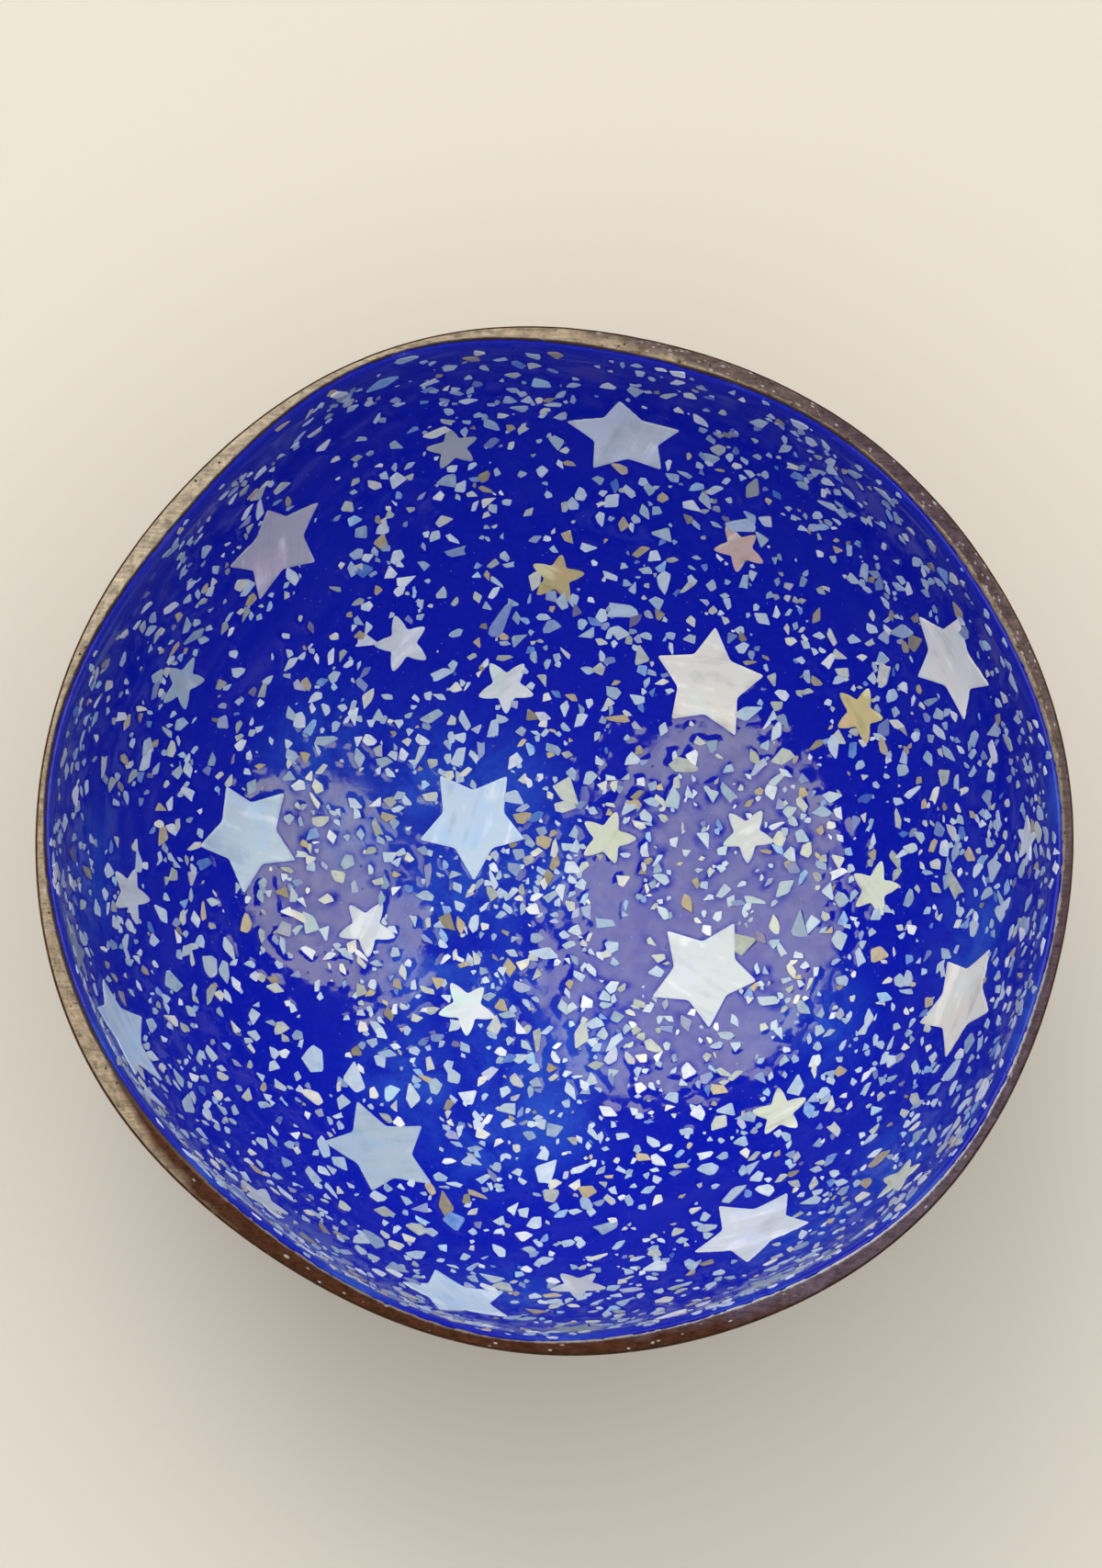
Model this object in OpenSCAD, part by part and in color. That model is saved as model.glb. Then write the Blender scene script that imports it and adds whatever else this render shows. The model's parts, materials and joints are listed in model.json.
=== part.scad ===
// Bowl made of half a coconut shell, lined with lacquer, with pearl stars let into the lining
// and crushed pearl chips bedded on it.
// The origin is the middle of the flat foot, +Z runs up to the rim, and lengths are in millimetres.

/* [Shell] */
// Mean radius of the shell's outside at the rim
shell_r = 68; // [58:0.5:78]
// Height of the outside from its pole to the rim, before the foot is ground flat
shell_h = 62.5; // [52:0.5:72]
// Mean wall at the rim
rim_wall = 2.2; // [2:0.1:4]
// Wall at the pole, before the foot is ground flat
pole_wall = 4.8; // [4:0.1:7]
// Depth ground off the pole to leave the flat foot
foot_cut = 1.9; // [1:0.1:2.5]
// Rounding of the rim's two edges
rim_round = 0.4; // [0.2:0.1:0.6]
// Squareness of the bowl's profile, where 2 is an ellipse
profile_power = 2.2; // [2:0.1:2.6]
// Tallest natural lobe of the outside
outer_lobe = 0.42; // [0.1:0.02:0.6]
// Tallest natural lobe of the inside
inner_lobe = 0.6; // [0.2:0.05:0.7]

/* [Lacquer lining] */
// Thickness of the lining at the rim
lining_rim = 1; // [0.9:0.1:1.6]
// Thickness of the lining at the pole
lining_pole = 1.2; // [0.9:0.1:2]
// Drop from the rim's face to the lining's lip
lip_drop = 0.3; // [0.1:0.1:0.6]
// Rounding of the lining's lip
lip_round = 0.5; // [0.2:0.1:0.8]

/* [Pearl stars] */
// Reach of a large star's arms from its centre
large_star_r = 8.6; // [6:0.2:9.4]
// Reach of a small star's arms from its centre
small_star_r = 4.3; // [3:0.1:4.8]
// Thickness of every star
star_t = 0.5; // [0.3:0.05:0.6]
// Height of a star's face over the lining
star_proud = 0.05; // [0:0.01:0.1]
// Clearance round and under a star in its pocket
star_gap = 0.06; // [0.04:0.01:0.15]

/* [Pearl chips] */
// Number of chips scattered over the lining, before those that would cover a star are left out
chip_count = 480; // [100:20:560]
// Mean reach of a chip's corners from its centre
chip_r = 1.4; // [1:0.1:1.8]
// Thickness of a chip
chip_t = 0.3; // [0.2:0.05:0.6]
// Bedding film under a chip
chip_bed_t = 0.2; // [0.18:0.02:0.4]

/* [Fineness] */
// Facets round the bowl
segments = 54; // [36:6:60]
// Facets from the pole to the rim
rings = 12; // [8:1:14]

/* [Hidden] */
// Height of the rim over the foot's face
rim_z = shell_h - foot_cut;
// Overrun of a cut past the face that it opens
overrun = 2;
// Half the span over which a face's slope is measured
probe = 0.3;

// Natural lobes, chosen by hand: number round the bowl, share of the tallest, direction of the first
outer_lobe_shares = [[2, 0.7, -50], [3, 0.8, -46], [4, 1, 18], [5, 0.3, -31], [7, 0.45, 5]];
inner_lobe_shares = [[2, 1, -40], [3, 0.45, -39], [4, 0.9, 9], [5, 0.85, -34], [6, 0.3, -3], [7, 0.65, 7]];

// Domes: rim radius, depth from the rim to the pole, tallest lobe and table of lobes
outside = [shell_r, shell_h, outer_lobe, outer_lobe_shares];
inside = [shell_r - rim_wall, shell_h - pole_wall, inner_lobe, inner_lobe_shares];
lining_face = [inside[0] - lining_rim, inside[1] - lining_pole, inner_lobe, inner_lobe_shares];

// Places of the stars, chosen by hand: direction round the bowl, share of the way up from the pole,
// turn of the shortest arm and share of the full size
large_star_shares = [
    [131, 0.71, 260, 1], [80, 0.77, 139, 1], [50, 0.385, 84, 1], [26, 0.81, 10, 1],
    [133, 0.115, 120, 1], [172, 0.43, 220, 1], [333, 0.255, 284, 1], [341, 0.74, 45, 0.98],
    [299, 0.69, 28, 1.02], [240, 0.48, 283, 1], [204, 0.83, 174, 1.02], [258, 0.785, 185, 0.97]];
small_star_shares = [
    [103, 0.715, 203, 0.95], [87, 0.46, 264, 0.95], [59, 0.62, 253, 0.96], [27, 0.565, 233, 1.03],
    [14, 0.3, 96, 1], [36, 0.11, 161, 1], [358, 0.505, 128, 1], [120, 0.4, 189, 1.04],
    [99, 0.28, 82, 1.02], [154, 0.67, 193, 1], [194, 0.235, 204, 1.06], [240, 0.18, 82, 1.03],
    [315, 0.5, 195, 1], [185, 0.675, 156, 1.02], [274, 0.7, 47, 0.97], [316, 0.85, 30, 0.95],
    [1, 0.875, 57, 0.8], [231, 0.815, 174, 1.03], [194, 0.92, 20, 0.95], [272, 0.92, 60, 0.95],
    [295, 0.925, 40, 0.95]];

// Corners of one arm as shares of the star's reach, with their turn from the arm's own direction
large_arm_shares = [[0, 0], [0.55, -36], [1, 0], [0.55, 36]];
small_arm_shares = [[0, 0], [0.45, -36], [0.79, -10], [1, -2], [1, 2], [0.79, 10], [0.45, 36]];
// Length of a star's shortest arm, as a share of the others
short_arm_share = 0.92;
// Arms of a star, and the turn from one to the next
arms = 5;
arm_turn = 360 / arms;

// Turn from one chip to the next round the bowl, which spreads them evenly
golden_turn = 137.508;
// Highest angle from the pole at which a chip lies
chip_top = 86;
// Least and most of a chip's reach, and its length over its width, as shares of the mean
chip_reach_shares = [0.7, 1.2];
chip_stretch_share = 1.15;
// Fewest and most corners of a chip
chip_corners = [4, 6];
// Parts of the chips that have each tone, adding up to 1
tone_shares = [["white", 0.36], ["grey", 0.27], ["cream", 0.19], ["tan", 0.1], ["blue", 0.08]];
tone_colours = ["white", "silver", "cornsilk", "tan", "lightblue"];

function two_digits(i) = str(i < 10 ? "0" : "", i);
LARGE_STARS = [for (i = [1 : len(large_star_shares)]) str("large_star_", two_digits(i))];
SMALL_STARS = [for (i = [1 : len(small_star_shares)]) str("small_star_", two_digits(i))];
CHIP_GROUPS = [for (tone = tone_shares) str(tone[0], "_pearl_chips")];

// Height of a dome's lobes in a direction, as a share of its tallest lobe
function lobe_share(table, a) =
    [for (lobe = table) lobe[1] * cos(lobe[0] * (a - lobe[2]))] * [for (lobe = table) 1];

// Radius of a dome in a direction, where spread is 0 at the pole and 1 at the rim
function dome_r(dome, a, spread) = dome[0] + spread * dome[2] * lobe_share(dome[3], a);

// Point of a dome in a direction round the bowl and at an angle up from the pole
function dome_point(dome, a, up) =
    let (r = dome_r(dome, a, pow(sin(up), 2)) * pow(sin(up), 2 / profile_power))
    [r * cos(a), r * sin(a), rim_z - dome[1] * pow(cos(up), 2 / profile_power)];

// How far a point lies outside a dome, as a share of the dome's size
function level(dome, p) =
    let (drop = pow(max(rim_z - p.z, 0) / dome[1], profile_power),
         out = pow(norm([p.x, p.y]) / dome_r(dome, atan2(p.y, p.x), max(1 - drop, 0)), profile_power))
    pow(out + drop, 1 / profile_power) - 1;

// Direction into the bowl, square to a dome's face
function inward(dome, p) =
    let (slope = [for (way = [[1, 0, 0], [0, 1, 0], [0, 0, 1]])
                  level(dome, p - probe * way) - level(dome, p + probe * way)])
    slope / norm(slope);

// A point carried onto a dome's face along a direction, closer with each try
function seat(dome, p, way, tries = 4) =
    tries == 0 ? p : seat(dome, p + way * level(dome, p) * dome[1], way, tries - 1);

// A place on the lining's face: its point, its way round the bowl, its way down and its inward way
function place(a, up) =
    let (p = dome_point(lining_face, a, up),
         n = inward(lining_face, p),
         tangent = [-sin(a), cos(a), 0],
         flat = tangent - n * (tangent * n),
         along = flat / norm(flat))
    [p, along, cross(n, along), n];

// Rings of points for a closed skin
function ring(dome, up) = [for (i = [0 : segments - 1]) dome_point(dome, i * 360 / segments, up)];
function dome_rings(dome) = [for (j = [1 : rings - 1]) ring(dome, 90 * j / rings)];
function rim_ring(dome, inset, drop) =
    [for (i = [0 : segments - 1])
        let (a = i * 360 / segments, r = dome_r(dome, a, 1) - inset[i])
        [r * cos(a), r * sin(a), rim_z - drop[i]]];
function even(value) = [for (i = [0 : segments - 1]) value];
function turned_back(rings_in) = [for (j = [len(rings_in) - 1 : -1 : 0]) rings_in[j]];

// Rounding of the rim in each direction, kept under a third of the wall there
edge_rounds = [for (i = [0 : segments - 1])
    let (a = i * 360 / segments)
    min(rim_round, (dome_r(outside, a, 1) - dome_r(inside, a, 1)) / 3)];

// Closed solid from a first pole, through rings of points, to a last pole
module closed_skin(first, stack, last) {
    count = len(stack);
    end = count * segments + 1;
    function at(j, i) = 1 + j * segments + i % segments;
    polyhedron(
        points = concat([first], [for (each_ring = stack) each each_ring], [last]),
        faces = concat(
            [for (i = [0 : segments - 1]) [0, at(0, i), at(0, i + 1)]],
            [for (j = [0 : count - 2]) for (i = [0 : segments - 1])
                each [[at(j, i), at(j + 1, i), at(j + 1, i + 1)], [at(j, i), at(j + 1, i + 1), at(j, i + 1)]]],
            [for (i = [0 : segments - 1]) [at(count - 1, i), end, at(count - 1, i + 1)]]));
}

// Half shell with its rounded rim, ground flat at the foot
module coconut_shell() {
    stack = concat(
        dome_rings(outside),
        [rim_ring(outside, even(0), edge_rounds), rim_ring(outside, edge_rounds, even(0))],
        [rim_ring(inside, -edge_rounds, even(0)), rim_ring(inside, even(0), edge_rounds)],
        turned_back(dome_rings(inside)));
    color("saddlebrown") difference() {
        closed_skin(dome_point(outside, 0, 0), stack, dome_point(inside, 0, 0));
        translate([-shell_r, -shell_r, -foot_cut - overrun])
            cube([2 * shell_r, 2 * shell_r, foot_cut + overrun]);
    }
}

// Lining that meets the shell's inside face to face, with a pocket under every star
module lacquer_lining() {
    stack = concat(
        dome_rings(inside),
        [rim_ring(inside, even(0), edge_rounds), rim_ring(inside, even(0), even(lip_drop))],
        [rim_ring(lining_face, even(-lining_rim / 2), even(lip_drop)),
         rim_ring(lining_face, even(0), even(lip_drop + lip_round))],
        turned_back(dome_rings(lining_face)));
    color("mediumblue") difference() {
        closed_skin(dome_point(inside, 0, 0), stack, dome_point(lining_face, 0, 0));
        for (spot = large_star_shares) star_pocket(spot, large_star_r, large_arm_shares);
        for (spot = small_star_shares) star_pocket(spot, small_star_r, small_arm_shares);
    }
}

// Distance from a star's centre to its straight edges' line, as a share of its reach
function edge_line_share(arm) =
    let (notch = arm[1][0] * [cos(arm_turn / 2), sin(arm_turn / 2)]) notch.y / norm(notch - [1, 0]);

// Smallest convex solid round some points
module wrapped(points) {
    hull() polyhedron(points, [for (i = [2 : len(points) - 1]) [0, i - 1, i]]);
}

// Corners of one arm of a star, lying on the lining's face
function arm_points(at, r, arm, turn, length) =
    [for (corner = arm)
        let (reach = r * corner[0] * (corner[0] > arm[1][0] ? length : 1), way = turn + corner[1])
        seat(lining_face, at[0] + reach * (cos(way) * at[1] + sin(way) * at[2]), at[3])];
function raised(points, way) = [for (p = points) p + way];
function arm_length(i) = i == 0 ? short_arm_share : 1;

// Star of pearl, curved with the lining and let into it: its face and its back are fans round the centre
module pearl_star(spot, full_r, arm) {
    at = place(spot[0], 90 * spot[1]);
    edge = [for (i = [0 : arms - 1])
        let (side = arm_points(at, full_r * spot[3], arm, spot[2] + i * arm_turn, arm_length(i)))
        for (k = [1 : len(side) - 2]) side[k]];
    count = len(edge);
    face = concat([at[0]], edge);
    color("gainsboro") polyhedron(
        points = concat(raised(face, star_proud * at[3]), raised(face, (star_proud - star_t) * at[3])),
        faces = [for (i = [0 : count - 1])
            let (a = 1 + i, b = 1 + (i + 1) % count, back = count + 1)
            each [[0, b, a], [back, back + a, back + b], [a, b, back + b, back + a]]]);
}

// Room for a star, with the clearance round and under it: a core between the notches and five points,
// each of which leans over the core
module star_pocket(spot, full_r, arm) {
    at = place(spot[0], 90 * spot[1]);
    r = full_r * spot[3] + star_gap / edge_line_share(arm);
    floor_way = (star_proud - star_t - star_gap) * at[3];
    roof_way = overrun * at[3];
    sides = [for (i = [0 : arms - 1]) arm_points(at, r, arm, spot[2] + i * arm_turn, arm_length(i))];
    notches = [for (side = sides) side[1]];
    wrapped(concat([at[0] + floor_way], raised(notches, floor_way), raised(notches, roof_way)));
    for (side = sides) {
        point = [for (k = [1 : len(side) - 1]) side[k]];
        wrapped(concat(raised(point, floor_way), raised(point, roof_way), [at[0] + roof_way]));
    }
}

// Repeatable scatter from 0 to 1, for one quantity of one chip
function scatter(i, quantity) = let (v = 4375.8 * sin(78.2 * i + 37.7 * quantity)) v - floor(v);
function between(range, share) = range[0] + share * (range[1] - range[0]);

// Place of a chip, with equal areas of the bowl for all
function chip_place(i) =
    place(golden_turn * i, acos(1 - (i + 0.5) / chip_count * (1 - cos(chip_top))));

// Whether a spot on the face is clear of every star by a chip's longest reach
star_outlines = concat(
    [for (spot = large_star_shares) [place(spot[0], 90 * spot[1]), spot, large_star_r, large_arm_shares]],
    [for (spot = small_star_shares) [place(spot[0], 90 * spot[1]), spot, small_star_r, small_arm_shares]]);
longest_chip = chip_r * chip_reach_shares[1] * chip_stretch_share;
function star_edge(arm, way) =
    let (a = abs((way % arm_turn + 1.5 * arm_turn) % arm_turn - arm_turn / 2),
         notch = arm[1][0] * [cos(arm_turn / 2), sin(arm_turn / 2)])
    notch.y / (cos(a) * notch.y - sin(a) * (notch.x - 1));
function clear_of(outline, p) =
    let (at = outline[0], spot = outline[1], way = p - at[0], u = way * at[1], v = way * at[2],
         edge = outline[2] * spot[3] * star_edge(outline[3], atan2(v, u) - spot[2]))
    norm(way) > edge + longest_chip;
function clear_of_stars(p) = len([for (outline = star_outlines) if (!clear_of(outline, p)) 1]) == 0;

// Tone of a chip, counted along the list of tones
function tone_of(share, k = 0) =
    k == len(tone_shares) - 1 || share < tone_shares[k][1] ? k : tone_of(share - tone_shares[k][1], k + 1);

// One chip: a flat slab of a few uneven corners, bedded on the lining
module chip(i) {
    at = chip_place(i);
    corners = floor(between(chip_corners + [0, 1], scatter(i, 1)));
    start = 360 * scatter(i, 2);
    outline = [for (k = [0 : corners - 1])
        let (r = chip_r * between(chip_reach_shares, scatter(i, 3 + k)), a = 360 * k / corners)
        [r * chip_stretch_share * cos(a), r / chip_stretch_share * sin(a)]];
    lift = at[0] + chip_bed_t * at[3];
    multmatrix([for (row = [0 : 2]) [at[1][row], at[2][row], at[3][row], lift[row]]])
        rotate(start) linear_extrude(chip_t) polygon(outline);
}

chips_in = [for (i = [0 : chip_count - 1]) if (clear_of_stars(chip_place(i)[0])) i];
module pearl_chips(tone) {
    color(tone_colours[tone]) for (i = chips_in) if (tone_of(scatter(i, 0)) == tone) chip(i);
}

coconut_shell();
lacquer_lining();
for (i = [0 : len(LARGE_STARS) - 1])
    pearl_star(large_star_shares[i], large_star_r, large_arm_shares);
for (i = [0 : len(SMALL_STARS) - 1])
    pearl_star(small_star_shares[i], small_star_r, small_arm_shares);
for (tone = [0 : len(CHIP_GROUPS) - 1])
    pearl_chips(tone);
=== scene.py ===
"""Half a coconut shell, lined with blue lacquer that holds pearl stars and crushed pearl chips.

Lengths are in metres, +Z runs up to the rim, and the origin is the middle of the flat foot.
"""

import collections
import functools
import json
import math
import random

import bpy
import numpy as np
from mathutils import Matrix, Vector, kdtree, noise

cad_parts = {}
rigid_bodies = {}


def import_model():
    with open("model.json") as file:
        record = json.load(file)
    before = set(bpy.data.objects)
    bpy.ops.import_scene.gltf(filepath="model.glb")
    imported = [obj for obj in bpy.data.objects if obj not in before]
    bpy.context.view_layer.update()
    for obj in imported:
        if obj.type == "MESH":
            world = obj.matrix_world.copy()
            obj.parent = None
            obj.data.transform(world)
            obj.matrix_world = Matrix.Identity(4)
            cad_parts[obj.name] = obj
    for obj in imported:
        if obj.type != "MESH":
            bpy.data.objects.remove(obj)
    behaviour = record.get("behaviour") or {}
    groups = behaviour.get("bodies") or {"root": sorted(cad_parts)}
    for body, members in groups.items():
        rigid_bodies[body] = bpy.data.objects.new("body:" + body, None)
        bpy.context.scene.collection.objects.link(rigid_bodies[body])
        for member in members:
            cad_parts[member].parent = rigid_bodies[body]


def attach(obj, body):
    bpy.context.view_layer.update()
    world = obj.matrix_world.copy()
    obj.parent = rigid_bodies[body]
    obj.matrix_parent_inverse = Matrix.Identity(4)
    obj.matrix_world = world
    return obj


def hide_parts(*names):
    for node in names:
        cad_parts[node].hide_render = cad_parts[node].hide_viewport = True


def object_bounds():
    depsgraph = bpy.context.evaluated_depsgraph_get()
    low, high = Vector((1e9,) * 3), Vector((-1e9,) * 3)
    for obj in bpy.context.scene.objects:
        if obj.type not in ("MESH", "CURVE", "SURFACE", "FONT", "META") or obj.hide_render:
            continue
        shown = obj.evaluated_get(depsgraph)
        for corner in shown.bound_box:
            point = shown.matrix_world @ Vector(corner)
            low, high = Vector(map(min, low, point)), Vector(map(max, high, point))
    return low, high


bl_info = {
    "name": "Coconut Shell Bowl",
    "version": (1, 0, 0),
    "blender": (4, 5, 0),
    "location": "View3D > Sidebar > Bowl",
    "description": "A lacquered coconut shell bowl set with pearl stars and chips",
    "category": "Add Mesh",
}

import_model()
cad_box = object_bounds()

MM = 0.001
TURN, QUARTER = 2 * math.pi, math.pi / 2
BODY = "root"
RIM_Z = cad_box[1].z
# Half of the step over which a face's slope is measured, and the step along a star's outline
PROBE, OUTLINE_STEP = 0.3 * MM, 0.3 * MM
# Height under the rim over which the lacquer's face leans out
FLARE_HEIGHT = 3.5 * MM
# Reach that spreads the shell's fibres evenly, and depth written for the rings under the lacquer
GRAIN_REACH, HIDDEN_DEPTH = 68 * MM, 4 * MM
ARMS = 5

# Natural lobes: number round the bowl, share of the tallest, direction of the first in degrees
OUTER_LOBE_SHARES = ((2, 0.7, -50), (3, 0.8, -46), (4, 1, 18), (5, 0.3, -31), (7, 0.45, 5))
INNER_LOBE_SHARES = ((2, 1, -40), (3, 0.45, -39), (4, 0.9, 9), (5, 0.85, -34), (6, 0.3, -3), (7, 0.65, 7))

# Stars: direction in degrees, share of the way up from the pole, turn of the shortest arm in degrees,
# share of the full size, kind of pearl, tint of the pearl and brightness, which also paints the sheen
# and light that the star catches
LARGE_STARS = (
    (131, 0.71, 260, 1, "mauve", "mauve", 1.33), (80, 0.77, 139, 1, "grey", "grey", 1.39),
    (50, 0.385, 84, 1, "bright", "silver", 1.59), (26, 0.81, 10, 1, "grey", "silver", 1.74),
    (133, 0.115, 120, 1, "blue", "blue", 1.3), (172, 0.43, 220, 1, "blue", "blue", 1.23),
    (333, 0.255, 284, 1, "bright", "grey", 1.34), (341, 0.74, 45, 0.98, "grey", "silver", 1.45),
    (299, 0.69, 28, 1.02, "blue", "grey", 1.41), (240, 0.48, 283, 1, "blue", "blue", 0.95),
    (204, 0.83, 174, 1.02, "grey", "blue", 1.31), (258, 0.785, 185, 0.97, "blue", "blue", 1.3))
SMALL_STARS = (
    (103, 0.715, 203, 0.95, "grey", "grey", 0.85), (87, 0.46, 264, 0.95, "gold", "gold", 1.06),
    (59, 0.62, 253, 0.96, "mauve", "rose", 1.42), (27, 0.565, 233, 1.03, "gold", "gold", 1.4),
    (14, 0.3, 96, 1, "bright", "bright", 1.04), (36, 0.11, 161, 1, "gold", "cream", 1),
    (358, 0.505, 128, 1, "cream", "cream", 1.15), (120, 0.4, 189, 1.04, "grey", "grey", 1.31),
    (99, 0.28, 82, 1.02, "cream", "bright", 1.22), (154, 0.67, 193, 1, "mauve", "blue", 0.9),
    (194, 0.235, 204, 1.06, "cream", "grey", 1.3), (240, 0.18, 82, 1.03, "bright", "bright", 1.3),
    (315, 0.5, 195, 1, "cream", "cream", 1.11), (185, 0.675, 156, 1.02, "grey", "grey", 1.21),
    (274, 0.7, 47, 0.97, "grey", "grey", 1.06), (316, 0.85, 30, 0.95, "grey", "cream", 1.03),
    (1, 0.875, 57, 0.8, "cream", "grey", 1.46), (231, 0.815, 174, 1.03, "mauve", "grey", 1.18),
    (194, 0.92, 20, 0.95, "grey", "blue", 0.55), (272, 0.92, 60, 0.95, "cream", "blue", 0.5),
    (295, 0.925, 40, 0.95, "grey", "blue", 0.65))

# Corners of one arm after its first notch, as shares of the reach with their turn in degrees
LARGE_ARM_SHARES = ((0.55, -36), (1, 0))
SMALL_ARM_SHARES = ((0.45, -36), (0.64, -20), (0.82, -9.5), (1, -1.5), (1, 1.5), (0.82, 9.5), (0.64, 20))
SHORT_ARM_SHARE = 0.92
STARS = {"large": (LARGE_STARS, LARGE_ARM_SHARES), "small": (SMALL_STARS, SMALL_ARM_SHARES)}

# Chips to a square centimetre at equal steps from the pole to the rim
CHIP_CROWDING = (25, 17.5, 18, 16.5, 15, 14.5, 14.5, 13.5, 11.5, 13)
# Parts of the chips that have each tone, adding up to 1
TONE_SHARES = {"white": 0.37, "grey": 0.28, "cream": 0.21, "tan": 0.08, "blue": 0.06}
# Parts of the chips that are small splinters, and that lie deeper in the lacquer
SPLINTER_SHARE, SUNK_SHARE = 0.22, 0.08

# Places where the pigment settled lighter, and at the rim (share 1) lighter patches that paint the sheen
# along the lip: direction in degrees, share of the way up, and radius in mm
SWIRLS_AND_PAINTED_LIP_SHEEN = (
    (150, 0.37, 8), (160, 0.25, 8), (138, 0.22, 8), (112, 0.13, 8), (190, 0.1, 9), (96, 0.02, 8),
    (215, 0.18, 8), (248, 0.15, 8), (262, 0.24, 9), (284, 0.22, 7), (240, 0.33, 8), (258, 0.37, 8),
    (272, 0.33, 7), (332, 0.46, 7), (318, 0.8, 8), (350, 0.74, 7), (183, 0.8, 7), (304, 0.8, 8),
    (238, 0.9, 7), (266, 0.72, 6), (206, 1, 4), (224, 1, 4), (246, 1, 5), (270, 1, 4), (292, 1, 5),
    (314, 1, 4), (338, 1, 6), (4, 1, 4))

# Sawn rim: colours of the cut, and of the line beside the lacquer, whose pale tone paints a highlight
# along the lacquer's edge
CUT_TONES = {"purple": "#53424A", "dusty": "#635350", "tan": "#A08D75", "sand": "#B0A089", "red": "#45271B",
             "plum": "#574853"}
LINE_TONES = {"dark": "#42332F", "umber": "#5E493A", "ash": "#8A7C72", "pale": "#C4C0C2"}
# Sawn rim: direction in degrees, tone of the cut, tone of the line beside the lacquer, width of the
# crumbled margin in millimetres, share of pale flecks and extra width of the line in millimetres
RIM_ZONES = (
    (0, "purple", "ash", 0.4, 0.04, 0), (18, "dusty", "ash", 0.6, 0.08, 0),
    (28, "dusty", "ash", 0.7, 0.25, 0), (40, "purple", "umber", 0.55, 0.14, 0),
    (58, "purple", "dark", 0.45, 0.06, 0.1), (68, "dusty", "dark", 0.75, 0.26, 0.1),
    (86, "dusty", "dark", 0.4, 0.1, 0.1), (96, "tan", "dark", 0.12, 0.03, 0.05),
    (135, "sand", "dark", 0.12, 0.02, 0.08), (166, "sand", "dark", 0.12, 0.02, 0.14),
    (180, "tan", "dark", 0.12, 0.02, 0.08), (205, "tan", "dark", 0.12, 0.02, 0.2),
    (222, "tan", "umber", 0.12, 0.03, 0.2), (231, "red", "ash", 0.1, 0.04, 0),
    (262, "red", "ash", 0.1, 0.04, 0), (290, "red", "pale", 0.15, 0.05, 0),
    (304, "plum", "pale", 0.15, 0.04, 0), (330, "plum", "pale", 0.15, 0.04, 0))


def linear(code, alpha=None):
    """Linear colour of an sRGB hex code, with an alpha where one is given."""
    parts = [int(code[i:i + 2], 16) / 255 for i in (1, 3, 5)]
    colour = [c / 12.92 if c <= 0.04045 else ((c + 0.055) / 1.055) ** 2.4 for c in parts]
    return colour if alpha is None else [*colour, alpha]


def length_prop(name, description, size):
    """A length that the user can change."""
    return bpy.props.FloatProperty(name=name, description=description, default=size, unit="LENGTH")


def colour_prop(name, description, code):
    """A colour that the user can change."""
    return bpy.props.FloatVectorProperty(
        name=name, description=description, subtype="COLOR", default=linear(code))


class ShellSizes(bpy.types.PropertyGroup):
    """Sizes of the coconut shell"""

    rim_radius: length_prop("Rim radius", "Mean radius of the outside at the rim", 68 * MM)
    height: length_prop("Height", "Height of the outside before the foot is ground flat", 62.5 * MM)
    rim_wall: length_prop("Rim wall", "Mean wall at the rim", 2.2 * MM)
    pole_wall: length_prop("Pole wall", "Wall at the pole before grinding", 4.8 * MM)
    rounding: length_prop("Rim rounding", "Rounding of the rim's edges", 0.4 * MM)
    power: bpy.props.FloatProperty(
        name="Squareness", description="Squareness of the profile, where 2 is an ellipse", default=2.2)
    outer_lobe: length_prop("Outer lobe", "Tallest natural lobe of the outside", 0.42 * MM)
    inner_lobe: length_prop("Inner lobe", "Tallest natural lobe of the inside", 0.6 * MM)
    fibre_depth: length_prop("Fibre depth", "Depth of the grooves between the shell's fibres", 0.09 * MM)
    rim_wear: length_prop("Rim wear", "Depth of the unevenness of the sawn rim", 0.18 * MM)


class LacquerSizes(bpy.types.PropertyGroup):
    """Sizes and colours of the lacquer lining"""

    rim_thickness: length_prop("Rim thickness", "Thickness at the rim", 1 * MM)
    pole_thickness: length_prop("Pole thickness", "Thickness at the pole", 1.2 * MM)
    lip_drop: length_prop("Lip drop", "Drop from the rim to the lip", 0.3 * MM)
    lip_rounding: length_prop("Lip rounding", "Rounding of the lip", 0.15 * MM)
    flare: length_prop("Flare", "Lean of the lacquer's face towards the shell at the rim", 0.85 * MM)
    waviness: length_prop("Waviness", "Height of the waves that hand sanding leaves", 0.16 * MM)
    deep: colour_prop("Deep blue", "Main colour", "#0E1CB0")
    # The light blue of the swirls also paints the sheen along the lip, in the swirls at the rim
    light: colour_prop("Light blue", "Colour of the swirls", "#2A50C4")
    # Colour of the dull sanded streaks by the rim, which also paints the sheen along the lip
    haze: colour_prop("Haze", "Colour of the sanded streaks by the rim", "#5358B4")


class StarSizes(bpy.types.PropertyGroup):
    """Sizes of the pearl stars"""

    large_reach: length_prop("Large reach", "Reach of a large star's arms", 8.6 * MM)
    small_reach: length_prop("Small reach", "Reach of a small star's arms", 4.3 * MM)
    thickness: length_prop("Thickness", "Thickness of a star", 0.5 * MM)
    proud: length_prop("Proud", "Height of a star's face over the lacquer", 0.05 * MM)


class ChipSizes(bpy.types.PropertyGroup):
    """Sizes of the pearl chips"""

    reach: length_prop("Reach", "Radius of a circle with a middling chip's area", 0.69 * MM)
    spread: bpy.props.FloatProperty(
        name="Spread", description="Spread of the sizes, where 0 makes all alike", default=0.33)
    crowding: bpy.props.FloatProperty(
        name="Crowding", description="Share of the usual number of chips", default=1)
    shapes: bpy.props.IntProperty(
        name="Shapes", description="Number of different outlines", default=40)
    seed: bpy.props.IntProperty(name="Seed", description="Seed of the scatter", default=11)


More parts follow.
